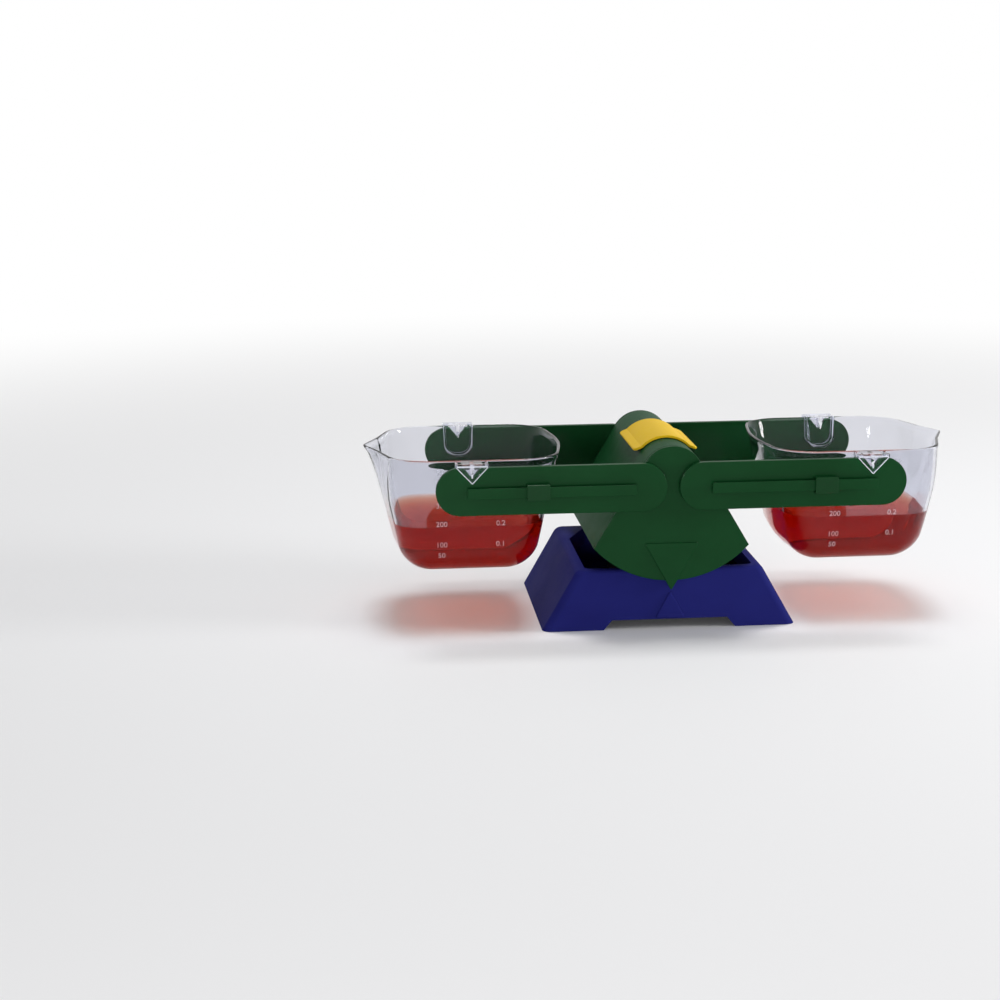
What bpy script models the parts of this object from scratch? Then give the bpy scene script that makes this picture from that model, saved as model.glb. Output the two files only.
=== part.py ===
"""Bucket balance: a tilting beam on a hollow base, with a clear bucket hung at each end.

The beam is a drum-shaped housing between two fan-shaped plates. Each plate carries two arms.
A steel knife bar under the drum's centre rocks in two grooved bearings on a frame in the base.
The buckets hang by knife edges in notches in the arms. Metres, +Z up, +X along the beam.
"""
import math

import bmesh
import bpy
from mathutils import Matrix, Vector

MM = 0.001

# Clearances
SEAT_GAP = 0.3 * MM
RUN_GAP = 0.35 * MM
OVERLAP = 0.6 * MM
ARC_STEP = math.radians(9)
SMOOTH_ANGLE = math.radians(40)
DRUM_SEGMENTS = 18
FAN_SEGMENTS = 22
SADDLE_SEGMENTS = 14
END_SEGMENTS = 20
EDGE_STEPS = 3
BOTTOM_STEPS = 4

# Base
BASE_LENGTH = 153.0 * MM
BASE_TOP_LENGTH = 111.0 * MM
BASE_WIDTH = 114.6 * MM
BASE_HEIGHT = 37.0 * MM
BASE_CORNER = 5.0 * MM
BASE_RIM_ROUND = 2.5 * MM
BASE_WALL = 2.2 * MM
BASE_SIDE_LAND = 5.5 * MM
BASE_END_LAND = 5.0 * MM
REAR_CUT_X = 14.0 * MM
REAR_CUT_Y = 30.0 * MM
OPENING_ROUND = 4.0 * MM
FOOT_LENGTH = 36.7 * MM
FOOT_NOTCH_HEIGHT = 6.0 * MM
FOOT_NOTCH_LEAN = 5.0 * MM
MARK_HALF_WIDTH = 9.0 * MM
MARK_HEIGHT = 17.0 * MM
MARK_RAISE = 1.1 * MM
MARK_GAP = 0.6 * MM

# Pivot
PIVOT_HEIGHT = 93.0 * MM

# Frame that carries the bearings
FLOOR_BOTTOM = 6.6 * MM
FLOOR_THICKNESS = 2.2 * MM
UPRIGHT_INSET = 15.5 * MM
UPRIGHT_THICKNESS = 4.0 * MM
UPRIGHT_TOP_HALF = 9.5 * MM
UPRIGHT_FOOT_HALF = 24.0 * MM
UPRIGHT_TOP_DROP = 1.0 * MM
BEARING_HALF = 5.0 * MM
BEARING_DEPTH = 8.0 * MM
BEARING_FLANGE = 1.2 * MM
BEARING_FLANGE_DROP = 1.0 * MM
GROOVE_HALF_ANGLE = math.radians(56)
GROOVE_DEPTH = 2.6 * MM

# Screws
SCREW_HEAD = 2.6 * MM
SCREW_HEAD_TOP = 2.1 * MM
SCREW_HEAD_EDGE = 0.6 * MM
SCREW_HEAD_HEIGHT = 1.5 * MM
SCREW_SHANK = 1.2 * MM
SCREW_TIP = 0.6 * MM
SCREW_TIP_LENGTH = 1.2 * MM
SCREW_SIDES = 12
FRAME_SCREW_REACH = 7.0 * MM
FRAME_BOSS_RADIUS = 4.0 * MM
FRAME_BOSS_HEIGHT = 10.0 * MM
FRAME_BOSS_END_INSET = 2.5 * MM
FRAME_BOSS_SIDE_INSET = 19.3 * MM

# Housing and fan plates
DRUM_RADIUS = 18.75 * MM
FAN_RADIUS = 62.5 * MM
FAN_LEAN = math.radians(30.5)
HOUSING_WALL = 2.2 * MM
PLATE_THICKNESS = 2.5 * MM
PLATE_BASE_GAP = 0.5 * MM
RIB_THICKNESS = 1.6 * MM
RIB_DEPTH = 2.5 * MM
RIB_SHORT = 5.0 * MM
POINTER_HALF_WIDTH = 16.4 * MM
POINTER_TOP = 39.3 * MM
POINTER_TIP = 68.6 * MM
POINTER_RAISE = 1.0 * MM

# Knife bar
KNIFE_HALF_WIDTH = 2.0 * MM
KNIFE_HALF_ANGLE = math.radians(34)
KNIFE_HEIGHT = 5.0 * MM
SOCKET_WALL = 2.2 * MM
SOCKET_DEPTH = 5.0 * MM

# Arms
ARM_INNER = 3.7 * MM
ARM_OUTER = 139.3 * MM
ARM_HEIGHT = 28.5 * MM
ARM_DROP = 4.65 * MM
ARM_THICKNESS = 4.0 * MM
HANGER_LAND = 21.1 * MM
HINGE_RISE = 4.0 * MM
NOTCH_HALF_ANGLE = math.radians(38)
NOTCH_BOTTOM_ROUND = 0.5 * MM
NOTCH_SHOULDER_ROUND = 1.2 * MM
RAIL_INNER_LAND = 18.7 * MM
RAIL_OUTER_LAND = 18.3 * MM
RAIL_DROP = 5.2 * MM
RAIL_HEAD_HEIGHT = 6.4 * MM
RAIL_HEAD_THICKNESS = 1.6 * MM
RAIL_WEB_HEIGHT = 3.0 * MM
RAIL_WEB_DEPTH = 2.0 * MM
ARM_SCREW_UPPER_IN = 6.1 * MM
ARM_SCREW_UPPER_RISE = 1.65 * MM
ARM_SCREW_LOWER_IN = 13.9 * MM
ARM_SCREW_LOWER_FALL = 8.75 * MM
ARM_SCREW_REACH = 2.6 * MM

# Riders
RIDER_LENGTH = 13.5 * MM
RIDER_WALL = 1.3 * MM
RIDER_LIP = 1.1 * MM
RIDER_LEFT_X = -80.0 * MM
RIDER_RIGHT_X = 90.0 * MM

# Saddle
SADDLE_LENGTH = 56.0 * MM
SADDLE_SHIFT = -8.0 * MM
SADDLE_THICKNESS = 1.5 * MM
SADDLE_HALF_SPAN = math.radians(46)
SADDLE_LIP = 5.5 * MM
SADDLE_FLARE = math.radians(25)

# Buckets
BUCKET_WALL = 1.8 * MM
BUCKET_FLOOR = 2.0 * MM
RIM_RISE = 8.4 * MM
BUCKET_DEPTH = 72.4 * MM
RIM_ARM_GAP = 4.2 * MM
RIM_HALF_LENGTH = 51.0 * MM
SPOUT_REACH = 62.3 * MM
SPOUT_SHOULDER = 42.5 * MM
SPOUT_TIP_ROUND = 5.0 * MM
SPOUT_NECK_INSET = 36.4 * MM
SPOUT_NECK_DENT = 1.4 * MM
END_NECK_DENT = 0.2 * MM
NECK_ROUND = 25.0 * MM
END_BULGE = 9.0 * MM
BOTTOM_BULGE = 2.7 * MM
BULGE_ROUND = 130.0 * MM
END_ROUND = 60.0 * MM
SIDE_TAPER = 0.20
END_TAPER = 0.17
BUCKET_BOTTOM_ROUND = 16.0 * MM
RIM_CORNER = 17.0 * MM
SPOUT_FADE = 30.0 * MM
SPOUT_POWER = 1.5
BUCKET_CORNER_SEGMENTS = 4
RIM_BEAD = 0.5 * MM
RIM_BEAD_HEIGHT = 1.5 * MM
HANGER_KNIFE_ANGLE = math.radians(17)
FLANGE_HALF_WIDTH = 9.6 * MM
FLANGE_THICKNESS = 2.0 * MM
FLANGE_SHOULDER = 2.0 * MM
FLANGE_FALL = 4.0 * MM
BRIDGE_HALF_WIDTH = 6.0 * MM
BRIDGE_THICKNESS = 1.2 * MM
BRACKET_HALF_WIDTH = 9.5 * MM
BRACKET_FOOT_HALF = 8.8 * MM
BRACKET_DROP = 11.4 * MM
BRACKET_ROUND = 7.5 * MM
BRACKET_ARM_GAP = 0.4 * MM
BRACKET_ROOT = 7.0 * MM

# Sizes that follow from the ones above
HALF_BASE = BASE_WIDTH / 2
PLATE_INNER = HALF_BASE + PLATE_BASE_GAP
PLATE_OUTER = PLATE_INNER + PLATE_THICKNESS
HOUSING_HALF = PLATE_INNER - SEAT_GAP
ARM_INNER_FACE = PLATE_OUTER + SEAT_GAP
ARM_OUTER_FACE = ARM_INNER_FACE + ARM_THICKNESS
ARM_TOP = ARM_HEIGHT / 2 - ARM_DROP
FLOOR_TOP = FLOOR_BOTTOM + FLOOR_THICKNESS
UPRIGHT_OUTER = HALF_BASE - UPRIGHT_INSET
UPRIGHT_INNER = UPRIGHT_OUTER - UPRIGHT_THICKNESS
RIM_HALF_WIDTH = ARM_INNER_FACE - RIM_ARM_GAP
SPOUT_NECK_Y = RIM_HALF_WIDTH - SPOUT_NECK_INSET
SIDE_LENGTH = math.sqrt(FAN_RADIUS ** 2 - DRUM_RADIUS ** 2)
SCREW_HOLE = SCREW_SHANK + SEAT_GAP
HANGER_X = ARM_OUTER - HANGER_LAND
RAIL_START = ARM_INNER + RAIL_INNER_LAND
RAIL_END = ARM_OUTER - RAIL_OUTER_LAND
ARM_SCREW_SPOTS = ((ARM_INNER + ARM_SCREW_UPPER_IN, ARM_SCREW_UPPER_RISE - ARM_DROP),
                   (ARM_INNER + ARM_SCREW_LOWER_IN, -ARM_SCREW_LOWER_FALL - ARM_DROP))

# Colours: red, green, blue, then roughness, metallic and opacity
FINISHES = {
    "blue_plastic": ((0.016, 0.022, 0.150), 0.35, 0.0, 1.0),
    "green_plastic": ((0.008, 0.060, 0.022), 0.35, 0.0, 1.0),
    "yellow_plastic": ((0.640, 0.460, 0.035), 0.30, 0.0, 1.0),
    "clear_plastic": ((0.850, 0.900, 0.930), 0.08, 0.0, 0.35),
    "frame_plastic": ((0.020, 0.022, 0.030), 0.50, 0.0, 1.0),
    "white_plastic": ((0.700, 0.700, 0.680), 0.35, 0.0, 1.0),
    "steel": ((0.560, 0.570, 0.580), 0.25, 1.0, 1.0),
}


def finish(name, piece):
    """A material of its own for one piece."""
    colour, roughness, metallic, opacity = FINISHES[name]
    material = bpy.data.materials.new(piece + "_" + name)
    material.use_nodes = True
    shader = material.node_tree.nodes["Principled BSDF"]
    shader.inputs["Base Color"].default_value = (*colour, 1.0)
    shader.inputs["Roughness"].default_value = roughness
    shader.inputs["Metallic"].default_value = metallic
    shader.inputs["Alpha"].default_value = opacity
    return material


def empty(name, place):
    """An empty that carries the pieces built around a joint's axis."""
    holder = bpy.data.objects.new(name, None)
    holder.location = place
    bpy.context.collection.objects.link(holder)
    return holder


def add_object(name, shape, parent):
    """Turns a bmesh into an object with its faces pointing out."""
    bmesh.ops.recalc_face_normals(shape, faces=shape.faces)
    mesh = bpy.data.meshes.new(name)
    shape.to_mesh(mesh)
    shape.free()
    mesh.shade_smooth()
    mesh.set_sharp_from_angle(angle=SMOOTH_ANGLE)
    thing = bpy.data.objects.new(name, mesh)
    thing.parent = parent
    bpy.context.collection.objects.link(thing)
    return thing


def piece(name, shape, parent, finish_name):
    """One named sub-part with its own material."""
    thing = add_object(name, shape, parent)
    thing.data.materials.append(finish(finish_name, name))
    return thing


def combine(target, shape, operation):
    """Adds or cuts a helper shape with a Boolean modifier."""
    helper = add_object(f"{target.name}_{operation.lower()}_{len(target.modifiers)}", shape, target.parent)
    helper.hide_render = True
    helper.display_type = "WIRE"
    modifier = target.modifiers.new(helper.name, "BOOLEAN")
    modifier.operation = operation
    modifier.object = helper
    modifier.solver = "EXACT"


def add(target, shape):
    combine(target, shape, "UNION")


def cut(target, shape):
    combine(target, shape, "DIFFERENCE")


def rounded(corners, step=ARC_STEP, segments=None):
    """A closed outline from (u, v, radius) corners, each corner replaced by an arc."""
    outline = []
    for index, (u, v, radius) in enumerate(corners):
        here = Vector((u, v))
        before = (Vector(corners[index - 1][:2]) - here).normalized()
        after = (Vector(corners[(index + 1) % len(corners)][:2]) - here).normalized()
        half = before.angle(after) / 2
        sweep = math.copysign(math.pi - 2 * half, -before.cross(after))
        centre = here + (before + after).normalized() * (radius / math.sin(half))
        start = here + before * (radius / math.tan(half)) - centre
        count = segments or max(2, round(abs(sweep) / step))
        if radius == 0:
            count = 0
        for k in range(count + 1):
            outline.append(centre + Matrix.Rotation(sweep * k / max(count, 1), 2) @ start)
    return [(point.x, point.y) for point in drop_doubles(outline)]


def drop_doubles(points, limit=1e-6):
    """Leaves out a point that repeats the one before it."""
    return [p for i, p in enumerate(points) if (p - points[i - 1]).length > limit]


def arc(radius, start, end, segments):
    """Points of an arc about the origin, both ends included."""
    angles = [start + (end - start) * k / segments for k in range(segments + 1)]
    return [(radius * math.cos(a), radius * math.sin(a)) for a in angles]


def symmetric(half):
    """A closed outline, alike on both sides of the middle line, from its right half."""
    return half + [(-u, v) for u, v in reversed(half) if u]


PLACES = {
    "X": lambda u, v, w: (w, u, v),
    "Y": lambda u, v, w: (u, w, v),
    "Z": lambda u, v, w: (u, v, w),
}


def prism(outline, start, end, axis="Y"):
    """An outline carried straight from start to end along one axis."""
    return loft([(outline, start), (outline, end)], axis)


def loft(sections, axis="Z"):
    """A closed skin through outlines with equal numbers of points, each at its own place."""
    shape = bmesh.new()
    place = PLACES[axis]
    rings = [[shape.verts.new(place(u, v, w)) for u, v in outline] for outline, w in sections]
    for low, high in zip(rings, rings[1:]):
        for i in range(len(low)):
            j = (i + 1) % len(low)
            shape.faces.new((low[i], low[j], high[j], high[i]))
    shape.faces.new(rings[0])
    shape.faces.new(rings[-1])
    return shape


def mirrored_y(shape, side):
    """Turns a shape built at the front, at -Y, to the chosen side."""
    if side > 0:
        bmesh.ops.scale(shape, vec=(1, -1, 1), verts=shape.verts)
    return shape


def turned_x(shape, end):
    """Turns a shape built at the right end to the chosen end by half a turn about Z."""
    if end < 0:
        bmesh.ops.rotate(shape, cent=(0, 0, 0), matrix=Matrix.Rotation(math.pi, 3, "Z"), verts=shape.verts)
    return shape


def box(low, high):
    """A block between two opposite corners."""
    outline = [(low[0], low[1]), (high[0], low[1]), (high[0], high[1]), (low[0], high[1])]
    return prism(outline, low[2], high[2], "Z")


def disc(u, v, radius):
    """A round outline with the screws' number of sides."""
    turn = 2 * math.pi / SCREW_SIDES
    return [(u + radius * math.cos(turn * k), v + radius * math.sin(turn * k)) for k in range(SCREW_SIDES)]


def screw(u, v, head_start, reach, axis):
    """A pan-head screw whose head starts at head_start and whose tip lies at reach."""
    way = math.copysign(1, reach - head_start)
    head_end = head_start + way * SCREW_HEAD_HEIGHT
    return loft([
        (disc(u, v, SCREW_HEAD_TOP), head_start),
        (disc(u, v, SCREW_HEAD), head_start + way * SCREW_HEAD_EDGE),
        (disc(u, v, SCREW_HEAD), head_end),
        (disc(u, v, SCREW_SHANK), head_end),
        (disc(u, v, SCREW_SHANK), reach - way * SCREW_TIP_LENGTH),
        (disc(u, v, SCREW_TIP), reach),
    ], axis)


def base_half_length(height):
    """Half the base's length at one height."""
    return (BASE_LENGTH - (BASE_LENGTH - BASE_TOP_LENGTH) * height / BASE_HEIGHT) / 2


def base_section(height, inset=0.0):
    """The base's outline at one height, drawn in by inset."""
    half_length = base_half_length(height) - inset
    half_width = HALF_BASE - inset
    radius = max(BASE_CORNER - inset, BASE_WALL)
    return rounded([(-half_length, -half_width, radius), (half_length, -half_width, radius),
                    (half_length, half_width, radius), (-half_length, half_width, radius)], ARC_STEP * 2)


def base_opening():
    """The open top's outline, with its rear corners cut across."""
    half_length = BASE_TOP_LENGTH / 2 - BASE_END_LAND
    half_width = HALF_BASE - BASE_SIDE_LAND
    corners = symmetric([(half_length, -half_width), (half_length, half_width - REAR_CUT_Y),
                         (half_length - REAR_CUT_X, half_width)])
    return rounded([(x, y, OPENING_ROUND) for x, y in corners], ARC_STEP * 2)


def frame_screw_spots():
    """Where the frame is screwed to bosses that join the base's end walls, one spot near each corner."""
    boss_top = FLOOR_TOP + SEAT_GAP + FRAME_BOSS_HEIGHT
    across = base_half_length(boss_top) - BASE_WALL - FRAME_BOSS_END_INSET
    along = HALF_BASE - FRAME_BOSS_SIDE_INSET
    return [(x, y) for x in (-across, across) for y in (-along, along)]


def build_base_shell():
    """Hollow base, open below and above, with foot notches and a raised mark on two sides."""
    levels = [(base_section(0), 0.0)]
    for k in range(EDGE_STEPS + 1):
        angle = math.pi / 2 * k / EDGE_STEPS
        height = BASE_HEIGHT - BASE_RIM_ROUND * (1 - math.sin(angle))
        levels.append((base_section(height, BASE_RIM_ROUND * (1 - math.cos(angle))), height))
    shell = piece("base_shell", loft(levels), None, "blue_plastic")
    roof = BASE_HEIGHT - BASE_WALL
    cut(shell, loft([(base_section(-OVERLAP, BASE_WALL), -OVERLAP), (base_section(roof, BASE_WALL), roof)]))
    low = FLOOR_TOP + SEAT_GAP
    for x, y in frame_screw_spots():
        add(shell, prism(disc(x, y, FRAME_BOSS_RADIUS), low, low + FRAME_BOSS_HEIGHT, "Z"))
        hole_end = low + FRAME_SCREW_REACH + SEAT_GAP
        cut(shell, prism(disc(x, y, SCREW_HOLE), low - OVERLAP, hole_end, "Z"))
    cut(shell, prism(base_opening(), roof - OVERLAP, BASE_HEIGHT + OVERLAP, "Z"))
    notch = BASE_LENGTH / 2 - FOOT_LENGTH
    slope = FOOT_NOTCH_LEAN / FOOT_NOTCH_HEIGHT * OVERLAP
    notch_outline = symmetric([(notch + slope, -OVERLAP), (notch - FOOT_NOTCH_LEAN, FOOT_NOTCH_HEIGHT)])
    cut(shell, prism(notch_outline, -HALF_BASE - OVERLAP, HALF_BASE + OVERLAP))
    mark_top = PIVOT_HEIGHT - POINTER_TIP - MARK_GAP
    mark = symmetric([(MARK_HALF_WIDTH, mark_top - MARK_HEIGHT), (0, mark_top)])
    for side in (-1, 1):
        add(shell, mirrored_y(prism(mark, -HALF_BASE - MARK_RAISE, -HALF_BASE + OVERLAP), side))


def build_pivot_frame():
    """Floor plate with two uprights that hold the bearings under the knife bar."""
    floor = base_section(FLOOR_TOP, BASE_WALL + SEAT_GAP)
    frame = piece("pivot_frame", prism(floor, FLOOR_BOTTOM, FLOOR_TOP, "Z"), None, "frame_plastic")
    top = PIVOT_HEIGHT + UPRIGHT_TOP_DROP
    pocket_half = BEARING_HALF + SEAT_GAP
    pocket_floor = PIVOT_HEIGHT - BEARING_DEPTH - SEAT_GAP
    foot = FLOOR_TOP - OVERLAP
    upright = symmetric([(UPRIGHT_FOOT_HALF, foot), (UPRIGHT_TOP_HALF, top), (pocket_half, top),
                         (pocket_half, pocket_floor)])
    for side in (-1, 1):
        add(frame, mirrored_y(prism(upright, -UPRIGHT_OUTER, -UPRIGHT_INNER), side))
    for x, y in frame_screw_spots():
        cut(frame, prism(disc(x, y, SCREW_HOLE), FLOOR_BOTTOM - OVERLAP, FLOOR_TOP + OVERLAP, "Z"))


def build_frame_screws():
    """Four screws that hold the frame up against the base's bosses."""
    head_start = FLOOR_BOTTOM - SEAT_GAP - SCREW_HEAD_HEIGHT
    reach = FLOOR_TOP + SEAT_GAP + FRAME_SCREW_REACH
    for number, (x, y) in enumerate(frame_screw_spots(), 1):
        piece(f"frame_screw_{number}", screw(x, y, head_start, reach, "Z"), None, "steel")


def build_bearing(name, side):
    """Grooved block in an upright's pocket, kept in place by a flange on each face."""
    groove_half = GROOVE_DEPTH * math.tan(GROOVE_HALF_ANGLE)
    top = GROOVE_DEPTH - SEAT_GAP
    low = -BEARING_DEPTH
    block = symmetric([(BEARING_HALF, low), (BEARING_HALF, top), (groove_half, top), (0, -SEAT_GAP)])
    bearing = piece(name, mirrored_y(prism(block, -UPRIGHT_OUTER - OVERLAP, -UPRIGHT_INNER + OVERLAP), side),
                    bpy.data.objects["beam_axis"], "white_plastic")
    flange_half = BEARING_HALF + 2 * BEARING_FLANGE
    flange = symmetric([(flange_half, low), (flange_half, -BEARING_FLANGE_DROP)])
    for face, way in ((-UPRIGHT_OUTER, -1), (-UPRIGHT_INNER, 1)):
        near = face + way * SEAT_GAP
        add(bearing, mirrored_y(prism(flange, near, near + way * BEARING_FLANGE), side))


def fan_corner(radius, length):
    """Where a side that leaves the drum at a tangent ends, after the given length."""
    return (radius * math.cos(FAN_LEAN) + length * math.sin(FAN_LEAN),
            radius * math.sin(FAN_LEAN) - length * math.cos(FAN_LEAN))


def arch(radius, length):
    """Open line up one straight side, over the drum and down the other side."""
    over = arc(radius, FAN_LEAN, math.pi - FAN_LEAN, DRUM_SEGMENTS)
    right = fan_corner(radius, length)
    return [right] + over + [(-right[0], right[1])]


def arch_strip(radius, thickness, length):
    """The outline of a wall that follows the arch."""
    return arch(radius, length) + arch(radius - thickness, length)[::-1]


def build_housing(parent):
    """Drum-shaped wall with two straight sides, open below and at both ends."""
    outline = arch_strip(DRUM_RADIUS, HOUSING_WALL, SIDE_LENGTH)
    piece("housing", prism(outline, -HOUSING_HALF, HOUSING_HALF), parent, "green_plastic")


def build_plate(name, side, parent):
    """Fan plate with a raised pointer, a rib that fits in the housing and a socket for the knife bar."""
    corner = fan_corner(DRUM_RADIUS, SIDE_LENGTH)
    low = math.atan2(corner[1], corner[0])
    rim = arc(FAN_RADIUS, math.pi - low, 2 * math.pi + low, FAN_SEGMENTS)
    outline = arch(DRUM_RADIUS, SIDE_LENGTH)[:-1] + rim[:-1]
    fan = mirrored_y(prism(outline, -PLATE_OUTER, -PLATE_INNER), side)
    plate = piece(name, fan, parent, "green_plastic")
    pointer = symmetric([(0, -POINTER_TIP), (POINTER_HALF_WIDTH, -POINTER_TOP)])
    add(plate, mirrored_y(prism(pointer, -PLATE_OUTER - POINTER_RAISE, -PLATE_INNER), side))
    rib = arch_strip(DRUM_RADIUS - HOUSING_WALL - SEAT_GAP, RIB_THICKNESS, SIDE_LENGTH - RIB_SHORT)
    add(plate, mirrored_y(prism(rib, -PLATE_INNER - OVERLAP, -PLATE_INNER + RIB_DEPTH), side))
    slot_half = KNIFE_HALF_WIDTH + SEAT_GAP
    outer_half = slot_half + SOCKET_WALL
    shoulder = KNIFE_HALF_WIDTH / math.tan(KNIFE_HALF_ANGLE)
    slot_top = KNIFE_HEIGHT + SEAT_GAP
    socket = symmetric([(slot_half, slot_top), (slot_half, shoulder), (outer_half, shoulder),
                        (outer_half, slot_top + SOCKET_WALL)])
    add(plate, mirrored_y(prism(socket, -PLATE_INNER - OVERLAP, -PLATE_INNER + SOCKET_DEPTH), side))
    for end in (-1, 1):
        for x, z in ARM_SCREW_SPOTS:
            hole = prism(disc(end * x, z, SCREW_HOLE), -PLATE_OUTER - OVERLAP, -PLATE_INNER + OVERLAP)
            cut(plate, mirrored_y(hole, side))


def build_knife_bar(parent):
    """Steel bar whose lower edge, on the beam's axis, rocks in the bearings."""
    shoulder = KNIFE_HALF_WIDTH / math.tan(KNIFE_HALF_ANGLE)
    outline = symmetric([(0, 0), (KNIFE_HALF_WIDTH, shoulder), (KNIFE_HALF_WIDTH, KNIFE_HEIGHT)])
    piece("knife_bar", prism(outline, -HOUSING_HALF, HOUSING_HALF), parent, "steel")


def arm_outline():
    """The right arm seen from the front: round ends and a notch whose outer side ends on the round."""
    low, high, radius = -ARM_DROP - ARM_HEIGHT / 2, ARM_TOP, ARM_HEIGHT / 2
    point_gap = SEAT_GAP + NOTCH_BOTTOM_ROUND * (1 / math.sin(NOTCH_HALF_ANGLE) - 1)
    apex = Vector((HANGER_X, HINGE_RISE - point_gap))
    side = Vector((math.sin(NOTCH_HALF_ANGLE), math.cos(NOTCH_HALF_ANGLE)))
    centre = Vector((ARM_OUTER - radius, -ARM_DROP))
    reach = (centre - apex).dot(side)
    shoulder = apex + side * (reach + math.sqrt(reach ** 2 + radius ** 2 - (centre - apex).length_squared))
    stop = math.atan2(shoulder.y - centre.y, shoulder.x - centre.x)
    outer_end = [(centre.x + u, centre.y + v, 0) for u, v in arc(radius, -math.pi / 2, stop, END_SEGMENTS)]
    notch_half = (ARM_TOP - apex.y) * math.tan(NOTCH_HALF_ANGLE)
    return rounded([(ARM_INNER, low, radius)] + outer_end[:-1]
                   + [(shoulder.x, shoulder.y, NOTCH_SHOULDER_ROUND), (apex.x, apex.y, NOTCH_BOTTOM_ROUND),
                      (HANGER_X - notch_half, high, NOTCH_SHOULDER_ROUND), (ARM_INNER, high, radius)])


def build_arm(name, side, end, parent):
    """Flat arm with a T-shaped rail along its outer face."""
    def place(shape):
        if side * end > 0:
            bmesh.ops.scale(shape, vec=(1, -1, 1), verts=shape.verts)
        return turned_x(shape, end)

    arm = piece(name, place(prism(arm_outline(), -ARM_OUTER_FACE, -ARM_INNER_FACE)), parent, "green_plastic")
    web_face = -ARM_OUTER_FACE - RAIL_WEB_DEPTH
    for height, near, far in ((RAIL_WEB_HEIGHT, -ARM_OUTER_FACE + OVERLAP, web_face - OVERLAP),
                              (RAIL_HEAD_HEIGHT, web_face, web_face - RAIL_HEAD_THICKNESS)):
        low, high = -RAIL_DROP - height / 2, -RAIL_DROP + height / 2
        add(arm, place(box((RAIL_START, far, low), (RAIL_END, near, high))))
    hole_end = -ARM_INNER_FACE - ARM_SCREW_REACH - SEAT_GAP
    for x, z in ARM_SCREW_SPOTS:
        cut(arm, place(prism(disc(x, z, SCREW_HOLE), hole_end, -ARM_INNER_FACE + OVERLAP)))


def build_arm_screws(side, side_name, parent):
    """Four screws from inside the housing, through one plate into its two arms."""
    head_start = -PLATE_INNER + SEAT_GAP + SCREW_HEAD_HEIGHT
    reach = -ARM_INNER_FACE - ARM_SCREW_REACH
    spots = [(end * x, z) for end in (-1, 1) for x, z in ARM_SCREW_SPOTS]
    for number, (x, z) in enumerate(spots, 1):
        shape = mirrored_y(screw(x, z, head_start, reach, "Y"), side)
        piece(f"arm_screw_{side_name}_{number}", shape, parent, "steel")


def build_saddle(parent):
    """Springy band over the drum with a flared lip along each lower edge."""
    inner = DRUM_RADIUS + RUN_GAP
    outer = inner + SADDLE_THICKNESS
    first = math.pi / 2 - SADDLE_HALF_SPAN
    last = math.pi - first
    lip_angle = SADDLE_FLARE - SADDLE_HALF_SPAN
    reach = (SADDLE_LIP * math.cos(lip_angle), SADDLE_LIP * math.sin(lip_angle))
    over = arc(outer, first, last, SADDLE_SEGMENTS)
    under = arc(inner, last, first, SADDLE_SEGMENTS)
    right_tips = [(x + reach[0], z + reach[1]) for x, z in (under[-1], over[0])]
    left_tips = [(-x, z) for x, z in reversed(right_tips)]
    outline = right_tips + over + left_tips + under
    half = SADDLE_LENGTH / 2
    piece("zero_saddle", prism(outline, SADDLE_SHIFT - half, SADDLE_SHIFT + half), parent, "yellow_plastic")


def build_rider(name, centre_x, parent):
    """Sliding clip that wraps round the head of a front arm's rail."""
    back = -ARM_OUTER_FACE - SEAT_GAP
    slot_back = -ARM_OUTER_FACE - RAIL_WEB_DEPTH + RUN_GAP
    slot_front = -ARM_OUTER_FACE - RAIL_WEB_DEPTH - RAIL_HEAD_THICKNESS - RUN_GAP
    front = slot_front - RIDER_WALL
    slot_half = RAIL_HEAD_HEIGHT / 2 + RUN_GAP
    half = slot_half + RIDER_WALL
    mouth = RAIL_WEB_HEIGHT / 2 + RUN_GAP
    upper = [(slot_front, slot_half), (slot_back, slot_half), (slot_back, mouth), (back, mouth), (back, half),
             (front, half)]
    lower = [(y, -z) for y, z in reversed(upper)]
    outline = [(y, z - RAIL_DROP) for y, z in upper + lower]
    half_length = RIDER_LENGTH / 2
    piece(name, prism(outline, centre_x - half_length, centre_x + half_length, "X"), parent, "green_plastic")


def bucket_section(drop, inset):
    """The bucket's outline at a depth below the rim: bulged inner end, spout at the outer end."""
    spout = max(0.0, 1 - drop / SPOUT_FADE) ** SPOUT_POWER
    half_width = RIM_HALF_WIDTH - SIDE_TAPER * drop - inset
    half_length = RIM_HALF_LENGTH - END_TAPER * drop - inset
    bulge = END_BULGE - (END_BULGE - BOTTOM_BULGE) * drop / BUCKET_DEPTH
    tip = half_length + bulge + spout * (SPOUT_REACH - RIM_HALF_LENGTH - END_BULGE)
    shoulder = half_length + spout * (SPOUT_SHOULDER - RIM_HALF_LENGTH)
    dent = END_NECK_DENT + spout * (SPOUT_NECK_DENT - END_NECK_DENT)
    neck = tip - (tip - shoulder) * SPOUT_NECK_Y / half_width - dent
    corner = max(RIM_CORNER - inset, BUCKET_WALL)
    blunt = END_ROUND + spout * (SPOUT_TIP_ROUND - END_ROUND)
    return rounded([(-half_length - bulge, 0, BULGE_ROUND), (-half_length, -half_width, corner),
                    (shoulder, -half_width, corner), (neck, -SPOUT_NECK_Y, NECK_ROUND), (tip, 0, blunt),
                    (neck, SPOUT_NECK_Y, NECK_ROUND), (shoulder, half_width, corner),
                    (-half_length, half_width, corner)], segments=BUCKET_CORNER_SEGMENTS)


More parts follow.
